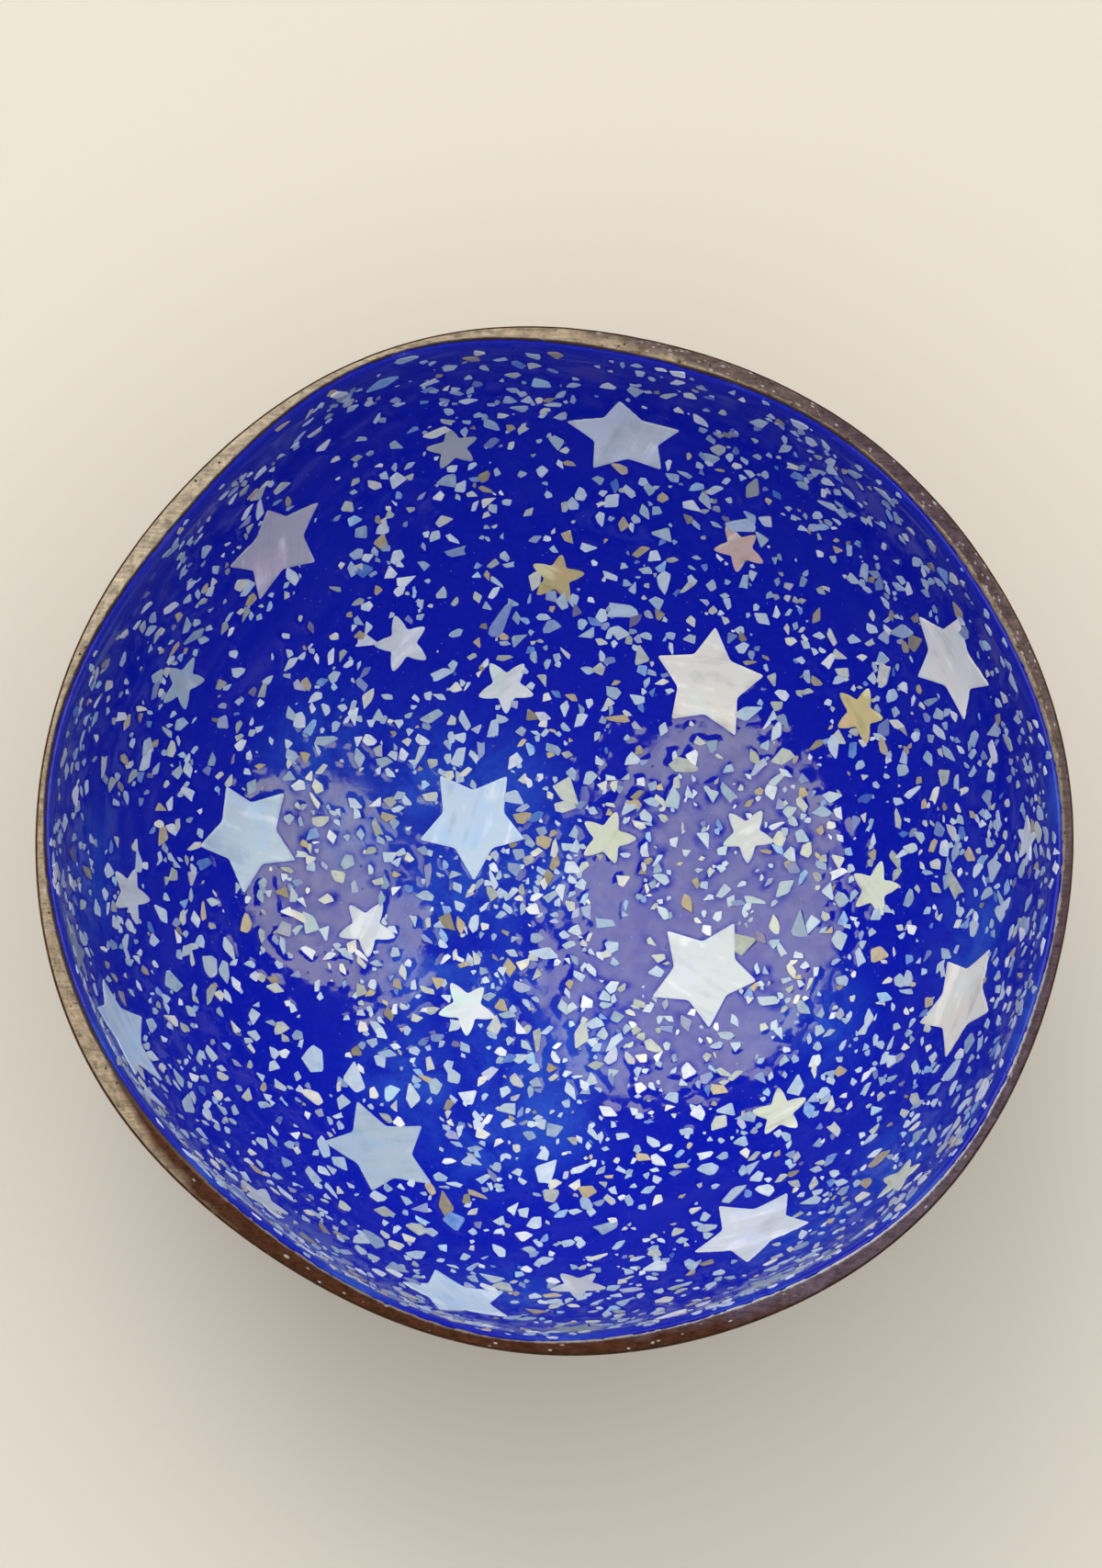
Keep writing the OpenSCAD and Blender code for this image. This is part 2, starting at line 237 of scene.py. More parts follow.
class StageSettings(bpy.types.PropertyGroup):
    """Floor, lamps and camera"""

    floor: colour_prop("Floor", "Colour of the floor", "#E6DDD0")
    lens: bpy.props.FloatProperty(
        name="Lens", description="Focal length of the camera", default=75.7 * MM, unit="CAMERA")
    lamp: bpy.props.FloatProperty(
        name="Lamp", description="Brightness of the main lamp", default=1)
    panel: bpy.props.FloatProperty(
        name="Panel", description="Brightness of the panels that the gloss reflects", default=5.3)


SETTINGS = {"bowl_shell": ShellSizes, "bowl_lacquer": LacquerSizes, "bowl_stars": StarSizes,
            "bowl_chips": ChipSizes, "bowl_stage": StageSettings}


Chip = collections.namedtuple("Chip", "at reach shape turn tone lustre veil lean_u lean_v rise")


class Dome:
    """A face of the bowl, hung from the rim's plane down to its pole"""

    def __init__(self, radius, depth, lobe, lobe_shares, power, flare=0):
        self.radius, self.depth, self.lobe, self.power = radius, depth, lobe, power
        self.lobe_shares, self.flare = lobe_shares, flare

    def reach(self, around, spread):
        """Radius in a direction, where spread is 0 at the pole and 1 at the rim."""
        waves = sum(share * np.cos(count * (around - math.radians(first)))
                    for count, share, first in self.lobe_shares)
        below = self.depth * np.maximum(1 - spread, 0) ** (1 / self.power)
        leaning = np.clip(1 - below / FLARE_HEIGHT, 0, 1) ** 2
        return self.radius + spread * self.lobe * waves + self.flare * leaning

    def point(self, around, up):
        """Points at directions round the bowl and at angles up from the pole, in radians."""
        out = self.reach(around, np.sin(up) ** 2) * np.sin(up) ** (2 / self.power)
        return ring(around, out, RIM_Z - self.depth * np.maximum(np.cos(up), 0) ** (2 / self.power))

    def level(self, points):
        """How far points lie outside the face, as a share of its size."""
        x, y, z = np.moveaxis(points, -1, 0)
        drop = (np.maximum(RIM_Z - z, 0) / self.depth) ** self.power
        reach = self.reach(np.arctan2(y, x), np.maximum(1 - drop, 0))
        return ((np.hypot(x, y) / reach) ** self.power + drop) ** (1 / self.power) - 1

    def inward(self, points):
        """Directions into the bowl, square to the face."""
        slope = np.stack([self.level(points - PROBE * way) - self.level(points + PROBE * way)
                          for way in np.eye(3)], axis=-1)
        return slope / np.linalg.norm(slope, axis=-1, keepdims=True)

    def seat(self, points, way, tries=4):
        """Points carried onto the face along a direction."""
        for _ in range(tries):
            points = points + self.level(points)[..., None] * self.depth * way
        return points

    def place(self, around, up):
        """Points, ways round the bowl, ways down and inward ways at some places."""
        points = self.point(around, up)
        inward = self.inward(points)
        tangent = np.stack([-np.sin(around), np.cos(around), 0 * around], axis=-1)
        flat = tangent - inward * (inward * tangent).sum(-1, keepdims=True)
        along = flat / np.linalg.norm(flat, axis=-1, keepdims=True)
        return points, along, np.cross(inward, along), inward

    def share(self, points):
        """How far up points lie, from 0 at the pole to 1 at the rim."""
        height = np.clip((RIM_Z - points[..., 2]) / self.depth, 0, 1)
        return np.arccos(height ** (self.power / 2)) / QUARTER

    def even_steps(self, count, first, last):
        """Angles up from the pole that are evenly spaced along the profile."""
        ups = np.linspace(first, last, 20 * count)
        profile = self.point(0 * ups, ups)
        walked = np.append(0, np.cumsum(np.linalg.norm(np.diff(profile, axis=0), axis=1)))
        return np.interp(np.linspace(0, walked[-1], count), walked, ups)


def bowl_faces(scene):
    """The shell's outside, the shell's inside and the lacquer's face."""
    shell, lacquer = scene.bowl_shell, scene.bowl_lacquer
    radius, depth = shell.rim_radius - shell.rim_wall, shell.height - shell.pole_wall
    return (
        Dome(shell.rim_radius, shell.height, shell.outer_lobe, OUTER_LOBE_SHARES, shell.power),
        Dome(radius, depth, shell.inner_lobe, INNER_LOBE_SHARES, shell.power),
        Dome(radius - lacquer.rim_thickness, depth - lacquer.pole_thickness, shell.inner_lobe,
             INNER_LOBE_SHARES, shell.power, lacquer.flare))


def bumps(points, size, octaves=1):
    """Smooth noise of a wavelength at some points, mostly from -0.5 to 0.5."""
    scaled = np.reshape(points, (-1, 3)) / size
    if octaves == 1:
        values = [noise.noise(Vector(p)) for p in scaled]
    else:
        values = [noise.fractal(Vector(p), 0.7, 2.1, octaves) for p in scaled]
    return np.reshape(values, np.shape(points)[:-1])


def smooth_step(low, high, values):
    """Rise from 0 to 1 between two values."""
    share = np.clip((values - low) / (high - low), 0, 1)
    return share * share * (3 - 2 * share)


def sanding(face, points, waviness):
    """Height of the uneven face that hand sanding leaves, which ends at the lip."""
    waves = 1.1 * bumps(points, 32 * MM) + 0.42 * bumps(points + 7 * MM, 13 * MM)
    waves += 0.1 * bumps(points, 5 * MM)
    return waviness * waves * (1 - smooth_step(0.975, 0.99, face.share(points)))


def even_ring(count):
    """Directions of the points of a ring."""
    return np.arange(count) * TURN / count


def ring(around, reach, height):
    """Points at directions round the bowl, with their reach from its axis and their height."""
    return np.stack(np.broadcast_arrays(reach * np.cos(around), reach * np.sin(around), height), axis=-1)


def hidden_rings(inside):
    """Rings of the shell's inside under the lacquer, from below the rim to the pole."""
    ups = np.linspace(QUARTER, 0, 14)[1:-1]
    return [inside.point(even_ring(96), up) for up in ups] + [inside.point(np.zeros(1), np.zeros(1))]


def skin(rings):
    """Points and faces of a closed skin through rings of points, each with any number of points."""
    faces, start = [], 0
    for low, high in zip(rings[:-1], rings[1:]):
        n, m, other = len(low), len(high), start + len(low)
        if n == m:
            faces += [(start + i, other + i, other + (i + 1) % n, start + (i + 1) % n) for i in range(n)]
        elif n == 1:
            faces += [(start, other + i, other + (i + 1) % m) for i in range(m)]
        elif m == 1:
            faces += [(start + i, other, start + (i + 1) % n) for i in range(n)]
        else:
            i = j = 0
            while i < n or j < m:
                if j == m or (i < n and (i + 1) * m <= (j + 1) * n):
                    faces.append((start + i % n, other + j % m, start + (i + 1) % n))
                    i += 1
                else:
                    faces.append((start + i % n, other + j % m, other + (j + 1) % m))
                    j += 1
        start = other
    return np.concatenate(rings), faces


def new_mesh(name, points, faces=(), **values):
    """A mesh with values on its points."""
    mesh = bpy.data.meshes.new(name)
    mesh.from_pydata(np.asarray(points).tolist(), [], faces)
    for key, value in values.items():
        value = np.asarray(value)
        whole, field = value.dtype.kind == "i", "value" if value.ndim == 1 else "vector"
        kind = "INT" if whole else "FLOAT" if value.ndim == 1 else "FLOAT_VECTOR"
        value = value.astype(np.int32 if whole else np.float32)
        mesh.attributes.new(key, kind, "POINT").data.foreach_set(field, value.ravel())
    return mesh


def add_piece(name, points, faces, material, slot, nodes, **values):
    """Makes a smooth mesh piece that stands for CAD nodes, with values on its points for its material."""
    mesh = new_mesh(name, points, faces, **values)
    mesh.materials.append(material)
    mesh.polygons.foreach_set("use_smooth", [True] * len(mesh.polygons))
    mesh.validate()
    finish_piece(mesh, nodes)


def finish_piece(mesh, nodes):
    """Shows a mesh in the place of some CAD nodes and lets it ride with them."""
    piece = bpy.data.objects.new(mesh.name, mesh)
    bpy.context.scene.collection.objects.link(piece)
    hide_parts(*nodes)
    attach(piece, BODY)


def add_node(tree, kind, *inputs, out=None, stops=(), **named):
    """Adds a node and gives its output: the first in use, unless out names another.

    A bare kind is a shader node's. Inputs are given in order or by name, with a capital, and settings by
    name, without one. The stops of a colour ramp are sRGB colours. A node without outputs gives itself.
    """
    node = tree.nodes.new(kind if "Node" in kind else f"ShaderNode{kind}")
    for name in filter(str.islower, named):
        setattr(node, name, named[name])
    given = list(zip((socket for socket in node.inputs if socket.enabled), inputs))
    given += [(node.inputs[name], value) for name, value in named.items() if not name.islower()]
    for socket, value in given:
        if isinstance(value, bpy.types.NodeSocket):
            tree.links.new(value, socket)
        else:
            socket.default_value = value
    if stops:
        ramp = node.color_ramp.elements
        while len(ramp) < len(stops):
            ramp.new(1)
        for stop, (at, code) in zip(ramp, stops):
            stop.position, stop.color = at, linear(code, 1)
    return node.outputs[out] if out else next((socket for socket in node.outputs if socket.enabled), node)


def spotted(node, place, scale, size, share):
    """Mask of scattered spots: their size and number are shares of the cells they lie in."""
    near = node("TexVoronoi", place, scale)
    drawn = node("SeparateColor", near.node.outputs["Color"])
    kept = node("Math", drawn, share, operation="LESS_THAN")
    return node("Math", node("MapRange", near, size, 0.6 * size), kept, operation="MULTIPLY")


def new_material(name):
    """A bare material, and the function that adds a node to it.

    A noise of scale 1000 makes patches of about a millimetre.
    """
    material = bpy.data.materials.new(name)
    material.use_nodes = True
    material.node_tree.nodes.clear()
    return material, functools.partial(add_node, material.node_tree)


def polished_lacquer(sizes):
    """Hand-polished ultramarine lacquer."""
    # Deep even blue with lighter swirls of settled pigment, which at the rim also paint the sheen along the
    # lip; dull sanded streaks by the rim, which also paint that sheen; and a sanded lip, darkened with
    # painted shade because it faces up into more light. A clear gloss whose mirror images are frayed by
    # sanding marks and dotted with tiny pits, which are darkened with painted shade as well. The
    # pits, a tenth of a millimetre wide, are drawn a few times as wide, because they wouldn't show
    material, node = new_material("hand_polished_ultramarine_lacquer")
    place = node("TexCoord", out="Object")
    swirl, haze, sanded, sheen, dip = (
        node("Attribute", out="Fac", attribute_name=name)
        for name in ("swirl", "haze", "sanded", "sheen", "dip"))

    cloud = node("TexNoise", place, 90, 6, 0.65, Distortion=1.2)
    cloud = node("MapRange", cloud, 0.36, 0.58, 0.15, 1.1)
    # Lighter swirls of pigment; those at the rim paint the sheen along the lip
    light = node("Math", swirl, cloud, operation="MULTIPLY")
    blue = node("Mix", light, [*sizes.deep, 1], [*sizes.light, 1], data_type="RGBA")
    streak = node("TexNoise", node("Mapping", place, Scale=(1, 1, 6)), 160, 4, Distortion=0.4)
    streak = node("MapRange", streak, 0.5, 0.72, 0.14, 0.5)
    # Dull sanded streaks by the rim, which also paint the pale sheen along the lip
    dull = node("Math", haze, streak, operation="MULTIPLY")
    hazy = node("Mix", dull, blue, [*sizes.haze, 1], data_type="RGBA")
    dust = node("Math", spotted(node, place, 1500, 0.16, 0.1), spotted(node, place, 900, 0.13, 0.12),
                operation="MAXIMUM")
    dust = node("Math", dust, 0.45, operation="MULTIPLY")
    hazy = node("Mix", dust, hazy, linear("#7C94D8", 1), data_type="RGBA")

    pits = spotted(node, place, 420, 0.1, 0.3)
    shade = node("MapRange", node("TexNoise", place, 1400, 3), 0.3, 0.7, 0.88, 1.1)
    # The pits are darkened with painted shade, besides their dent in the bump
    shade = node("Math", pits, -0.45, shade, operation="MULTIPLY_ADD")
    # The lip faces up into more light, so the same mask that makes it rougher darkens it with painted shade
    shade = node("Math", sanded, -0.42, shade, operation="MULTIPLY_ADD")
    rough = node("Math", sanded, 0.36, node("MapRange", cloud, 0, 1, 0.05, 0.09), operation="MULTIPLY_ADD")
    mottle = node("MapRange", node("TexNoise", place, 350, 6, 0.75), 0.4, 0.6, 0.86, 1.14)
    level = node("Math", 1, dip, operation="SUBTRACT")
    gloss = node("Math", sheen, node("Math", mottle, level, operation="MULTIPLY"), operation="MULTIPLY")

    height = node("Math", node("TexNoise", place, 480, 3), 0.15, operation="MULTIPLY")
    height = node("Math", node("TexNoise", place, 1500, 3, 0.55), 0.85, height, operation="MULTIPLY_ADD")
    height = node("Math", pits, -4, height, operation="MULTIPLY_ADD")
    node("OutputMaterial", node("BsdfPrincipled", IOR=1.5, Roughness=rough, **{
        "Base Color": node("HueSaturation", Color=hazy, Value=shade), "Specular IOR Level": gloss,
        "Normal": node("Bump", Height=height, Distance=0.008 * MM)}))
    return material


def sawn_coconut_shell():
    """Coconut shell, sawn, sanded and oiled."""
    # Dark brown with paler fibres that run from the foot to the rim and a satin oiled sheen; the matt
    # rim is purple brown, tan or red brown by turns, flecked, and crumbled beside the lacquer, with a thin
    # line there that is dark on most of the rim and is a painted highlight where it is pale
    material, node = new_material("sawn_and_oiled_coconut_shell")
    place = node("TexCoord", out="Object")
    grain, ringwise, sawn, line = (
        node("Attribute", out="Vector", attribute_name=name)
        for name in ("grain", "ringwise", "sawn", "line"))
    outer, inner, margin, flecked, line_width = (
        node("Attribute", out="Fac", attribute_name=name)
        for name in ("from_outer", "from_inner", "margin", "flecked", "line_width"))

    husk = node("ValToRGB", node("TexNoise", grain, 900, 5, 0.6, Distortion=0.3), stops=(
        (0.28, "#1C0F0A"), (0.46, "#38200F"), (0.6, "#523321"), (0.76, "#8A6440")))
    patch = node("MapRange", node("TexNoise", place, 60, 4), 0.35, 0.7, 0.75, 1.35)
    wall = node("HueSaturation", Color=husk, Value=patch)

    cut = node("TexNoise", place, 800, 5, 0.7)
    strokes = node("Mapping", place, Rotation=(0, 0, 0.6), Scale=(1, 8, 1))
    grainy = node("Math", cut, node("TexNoise", strokes, 420, 4, 0.7), operation="ADD")
    grainy = node("Math", grainy, node("TexNoise", ringwise, 1400, 4, 0.7), operation="ADD")
    sawn = node("HueSaturation", Color=sawn, Value=node("MapRange", grainy, 1.15, 1.85, 0.42, 1.58))
    sawn = node("Mix", spotted(node, place, 1300, 0.3, 0.1), sawn, linear("#4A3628", 1), data_type="RGBA")
    flecks = node("Math", spotted(node, ringwise, 1200, 0.3, flecked),
                  spotted(node, ringwise, 2600, 0.4, flecked), operation="MAXIMUM")
    fleck = node("ValToRGB", cut, stops=((0.42, "#8E806C"), (0.5, "#A69C8E"), (0.58, "#AAB2BA")))
    sawn = node("Mix", flecks, sawn, fleck, data_type="RGBA")

    reach = node("Math", inner, margin, operation="SUBTRACT")
    reach = node("Math", node("TexNoise", ringwise, 700, 4, 0.7), 1.2, reach, operation="MULTIPLY_ADD")
    crumbly = node("ValToRGB", cut, stops=(
        (0.34, "#3A281D"), (0.44, "#7A6650"), (0.56, "#A09078"), (0.74, "#CDBFA0")))
    rim = node("Mix", node("MapRange", reach, 0.5, 0.66, 1, 0), sawn, crumbly, data_type="RGBA")
    # The thin line beside the lacquer: a dark joint, and a painted highlight where its tone is pale
    edge = node("Math", cut, 0.5, line_width, operation="MULTIPLY_ADD")
    edge = node("MapRange", node("Math", inner, edge, operation="SUBTRACT"), -0.1, 0.12, 1, 0)
    rim = node("Mix", edge, rim, line, data_type="RGBA")
    rim = node("Mix", node("MapRange", outer, 0.1, 0.2, 1, 0), rim, linear("#2E1F18", 1), data_type="RGBA")
    on_rim = node("MapRange", outer, -0.25, 0.1)
    node("OutputMaterial", node("BsdfPrincipled", IOR=1.5, **{
        "Base Color": node("Mix", on_rim, wall, rim, data_type="RGBA"),
        "Roughness": node("MapRange", on_rim, 0, 1, 0.34, 0.7),
        "Specular IOR Level": node("MapRange", on_rim, 0, 1, 0.15, 0.02),
        "Normal": node("Bump", Height=cut, Strength=0.5, Distance=0.12 * MM)}))
    return material


# Tints of the cut and polished pearl stars: dark band, body, pale band and the fire in its sheen
PEARL_TINTS = {
    "mauve": ("#8A8694", "#AAA7B2", "#CBC8D0", "#C8B2C4"),
    "grey": ("#A3A9AE", "#C0C5C7", "#D8DBDC", "#C3CCDC"),
    "silver": ("#A8A49A", "#CBC6BA", "#DEDACC", "#C6D0C6"),
    "bright": ("#B6BDBC", "#D4D7D6", "#F4F4EE", "#B6E6CE"),
    "blue": ("#9AB0C3", "#BCCDD8", "#D9E4E9", "#A9C8E6"),
    "gold": ("#948A5C", "#C2B47E", "#E4DCA8", "#DDB08C"),
    "rose": ("#9A8272", "#C0A798", "#DCCBB8", "#D4A4A0"),
    "cream": ("#B3B5A2", "#D9DCC8", "#F2F3E2", "#D6E6C0"),
}


def cut_pearl(tint):
    """Mother-of-pearl, cut, set and polished under the lacquer's last coat."""
    # Silky growth bands across each star, a slow drift of colour along them, and a satin polish; each
    # star's brightness also paints the sheen and light that it catches
    dark, body, pale, fire = PEARL_TINTS[tint]
    material, node = new_material(f"polished_{tint}_mother_of_pearl")
    grain = node("Attribute", out="Vector", attribute_name="grain")
    lustre = node("Attribute", out="Fac", attribute_name="lustre")
    band = node("TexNoise", node("Mapping", grain, Scale=(0.12, 1, 1)), 420, 4, 0.55, Distortion=0.35)
    soft = node("Math", node("TexNoise", grain, 260, 3), 0.4, operation="MULTIPLY")
    layer = node("Math", band, 0.6, soft, operation="MULTIPLY_ADD")
    layer = node("ValToRGB", layer, stops=((0.3, dark), (0.47, body), (0.54, body), (0.62, pale)))
    drift = node("MapRange", node("TexNoise", grain, 190, 2), 0.48, 0.72, 0, 0.6)
    pearl = node("Mix", drift, layer, linear(fire, 1), data_type="RGBA")
    # The brightness also paints the sheen and light that the star catches
    node("OutputMaterial", node("BsdfPrincipled", IOR=1.5, Roughness=0.32, **{
        "Base Color": node("HueSaturation", Color=pearl, Value=lustre), "Specular IOR Level": 0.1,
        "Normal": node("Bump", Height=band, Strength=0.12, Distance=0.05 * MM)}))
    return material


# Tones of the crushed chips, from the dullest chip to the brightest, whose near-white last tone paints
# a glint
CHIP_TONES = {
    "white": ("#A6BED6", "#C4D8E8", "#DAE8F0", "#FFFFFC"),
    "grey": ("#94AAC4", "#B2C7D4", "#C4D4DC", "#D8E6EE"),
    "cream": ("#AEB4AA", "#CDD3C6", "#E1E3D2", "#FFFAE6"),
    "tan": ("#948A74", "#B2A484", "#C6B48E", "#DECCA4"),
    "blue": ("#5480C8", "#7A9EDC", "#9CC6EC", "#C4EAF8"),
}


def crushed_pearl(tone):
    """Mother-of-pearl, crushed, sieved and bedded in the lacquer."""
    # Each chip has its own brightness with cloudy patches, and the brightest paint glints; a few lie
    # deeper, seen through blue lacquer
    material, node = new_material(f"crushed_{tone}_mother_of_pearl")
    lustre, veil = (node("Attribute", out="Fac", attribute_name=name) for name in ("lustre", "veil"))
    cloud = node("TexNoise", node("TexCoord", out="Object"), 900, 4)
    cloud = node("MapRange", cloud, 0.25, 0.75, -0.22, 0.22)
    # The brightest tones of the ramp paint glints
    pearl = node("ValToRGB", node("Math", lustre, cloud, operation="ADD"),
                 stops=[*zip((0.05, 0.35, 0.7, 1), CHIP_TONES[tone])])
    node("OutputMaterial", node("BsdfPrincipled", IOR=1.5, Roughness=0.3, **{
        "Base Color": node("Mix", veil, pearl, linear("#2438B4", 1), data_type="RGBA"),
        "Specular IOR Level": 0.12}))
    return material


def star_spots(scene, names=("large", "small")):
    """Every star: its place on the lacquer's face, the table row, the reach and the outline."""
    face = bowl_faces(scene)[2]
    for name in names:
        table, arm = STARS[name]
        for spot in table:
            at = face.place(math.radians(spot[0]), spot[1] * QUARTER)
            reach = getattr(scene.bowl_stars, f"{name}_reach") * spot[3]
            yield at, spot, reach, star_outline(spot, reach, arm)


def star_outline(spot, reach, arm):
    """Outline of a hand-cut star in its own plane, as close points with slightly worn corners."""
    rng = random.Random(f"{spot[0]} {spot[1]}")
    corners = []
    for i in range(ARMS):
        length = (SHORT_ARM_SHARE if i == 0 else 1) * rng.uniform(0.985, 1.015)
        lean = rng.uniform(-1.2, 1.2)
        for share, turn in arm:
            out = reach * share * (length if share > arm[0][0] else 1)
            way = math.radians(spot[2] + i * 360 / ARMS + turn + lean)
            corners.append((out * math.cos(way), out * math.sin(way)))
    corners = np.array(corners + corners[:1])
    walked = np.append(0, np.cumsum(np.linalg.norm(np.diff(corners, axis=0), axis=1)))
    spaced = np.linspace(0, walked[-1], int(walked[-1] / OUTLINE_STEP) + 1)[:-1]
    outline = np.stack([np.interp(spaced, walked, corners[:, k]) for k in (0, 1)], axis=-1)
    for _ in range(2):
        outline = (np.roll(outline, 1, axis=0) + 2 * outline + np.roll(outline, -1, axis=0)) / 4
    return outline


def star_clearance(at, outline, points):
    """Distance of points beyond a star's edge, measured out from its centre."""
    offset = points - at[0]
    u, v = offset @ at[1], offset @ at[2]
    ways = np.arctan2(outline[:, 1], outline[:, 0])
    order = np.argsort(ways)
    edge = np.interp(np.arctan2(v, u), ways[order], np.hypot(*outline[order].T), period=TURN)
    return np.hypot(u, v) - edge


def add_stars(scene, size_name, rings):
    """Adds the stars of one size, curved with the lacquer and let into it."""
    face, sizes, waviness = bowl_faces(scene)[2], scene.bowl_stars, scene.bowl_lacquer.waviness
    bevel = 0.04 * MM
    under = sizes.proud - sizes.thickness
    for i, (at, spot, _, outline) in enumerate(star_spots(scene, [size_name]), 1):
        inset = 1 - bevel / np.linalg.norm(outline, axis=1, keepdims=True)
        flats = [np.zeros((1, 2))] + [outline * inset * (k / rings) for k in range(1, rings + 1)]
        flats += [outline, outline, np.zeros((1, 2))]
        heights = [sizes.proud] * (rings + 1) + [sizes.proud - bevel / 2, under, under]
        stack = []
        for flat, height in zip(flats, heights):
            points = at[0] + flat[:, :1] * at[1] + flat[:, 1:] * at[2]
            points = face.seat(points, at[3])
            lift = height + sanding(face, points, waviness)
            stack.append(points + lift[:, None] * at[3])
        points, faces = skin(stack)
        turn = random.Random(f"grain {spot[0]}").uniform(0, TURN)
        x, y = np.concatenate(flats).T
        grain = np.stack([x * math.cos(turn) + y * math.sin(turn), y * math.cos(turn) - x * math.sin(turn),
                          np.full(len(x), spot[0] * MM)], axis=-1)
        kind, tint, lustre = spot[4:]
        material = bpy.data.materials.get(f"polished_{tint}_mother_of_pearl") or cut_pearl(tint)
        add_piece(f"pearl_star_{size_name}_{i:02d}", points, faces, material, f"{kind}_pearl",
                  [f"{size_name}_star_{i:02d}"], grain=grain, lustre=np.full(len(x), lustre))


def chip_outlines(sizes):
    """Outlines of broken chips with the area of a circle of radius 1, and their half lengths."""
    rng = random.Random(sizes.seed)
    found = []
    for _ in range(sizes.shapes):
        corners = rng.choice((3, 4, 4, 4, 5, 5, 5, 6, 6, 7))
        stretch = math.sqrt(rng.choice((1, 1.15, 1.3, 1.5, 1.8, 2.4)))
        ways = [(k + rng.uniform(-0.36, 0.36)) * TURN / corners for k in range(corners)]
        rough = [Vector((math.cos(a) * stretch, math.sin(a) / stretch)) * rng.uniform(0.5, 1.2)
                 for a in ways]
        worn = []
        for k, corner in enumerate(rough):
            cut = rng.uniform(0.03, 0.16)
            worn += [corner.lerp(rough[k - 1], cut), corner.lerp(rough[(k + 1) % corners], cut)]
        outline = np.array(worn)
        after = np.roll(outline, -1, axis=0)
        area = (outline[:, 0] * after[:, 1] - outline[:, 1] * after[:, 0]).sum() / 2
        outline *= math.sqrt(math.pi / area)
        found.append((outline, np.abs(outline).max(axis=0)))
    return found


@functools.cache
def scattered_chips(reach, spread, crowding, shapes, seed):
    """Places of the chips on the lacquer, clear of each other and of the stars."""
    scene = bpy.context.scene
    face = bowl_faces(scene)[2]
    rng = random.Random(seed)
    stars = list(star_spots(scene))
    steps = len(CHIP_CROWDING)
    tones = list(TONE_SHARES)
    halves = [half for _, half in chip_outlines(scene.bowl_chips)]
    rim_band, rim_gap, star_gap, most_tries = 2 * MM, 0.15 * MM, 2 * MM, 40000
    chips, centres, reaches = [], [], []
    for step, crowd in enumerate(CHIP_CROWDING):
        low, high = (step / steps * QUARTER, (step + 1) / steps * QUARTER)
        band = face.point(np.zeros(2), np.array([low, high]))
        slant = np.linalg.norm(band[1] - band[0])
        area = TURN * (band[0][0] + band[1][0]) / 2 * slant
        wanted = crowding * crowd * area / (10 * MM) ** 2
        tries = 0
        while wanted > 0 and tries < most_tries:
            tries += 1
            around, up = rng.uniform(0, TURN), rng.uniform(low, high)
            at = face.place(around, up)
            thick = 0.5 + 0.9 * bumps(at[0], 9 * MM) + 0.5 * bumps(at[0], 4 * MM)
            thick += 0.12 * up * math.cos(around - math.radians(300))
            if rng.random() > thick + 0.25:
                continue
            r = reach * math.exp(rng.gauss(0, spread))
            if rng.random() < SPLINTER_SHARE:
                r *= rng.uniform(0.35, 0.65)
            shape, turn = rng.randrange(shapes), rng.uniform(0, TURN)
            below = RIM_Z - at[0][2]
            if below < rim_band:
                turn = 0.25 * math.sin(turn)
            tall = r * (halves[shape][0] * abs(math.sin(turn)) + halves[shape][1] * abs(math.cos(turn)))
            if below < 0.9 * tall + rim_gap:
                continue
            if chips and (np.linalg.norm(np.array(centres) - at[0], axis=1)
                          - 0.8 * (np.array(reaches) + r)).min() < 0:
                continue
            if any(np.linalg.norm(at[0] - star_at[0]) < star_reach + star_gap
                   and star_clearance(star_at, outline, at[0][None])[0] < 0.85 * r
                   for star_at, _, star_reach, outline in stars):
                continue
            tone = rng.choices(tones, TONE_SHARES.values())[0]
            veil = rng.uniform(0.25, 0.65) if rng.random() < SUNK_SHARE else rng.uniform(0, 0.1)
            share = up / QUARTER
            # Past halfway up every chip is tinted at least a little bluer, and near the rim made a little
            # brighter
            chips.append(Chip(
                at, r, shape=shape, turn=turn, tone=tone, veil=max(veil, 0.14 * smooth_step(0.5, 0.9, share)),
                lustre=rng.random() + 0.12 * smooth_step(0.7, 1, share),
                lean_u=rng.gauss(0, 0.05), lean_v=rng.gauss(0, 0.05), rise=rng.uniform(-0.024, 0.03) * MM))
            centres.append(at[0])
            reaches.append(r)
            wanted -= 1
    return chips


def chips_of(scene):
    """The scattered chips of a scene."""
    s = scene.bowl_chips
    return scattered_chips(s.reach, s.spread, s.crowding, s.shapes, s.seed)


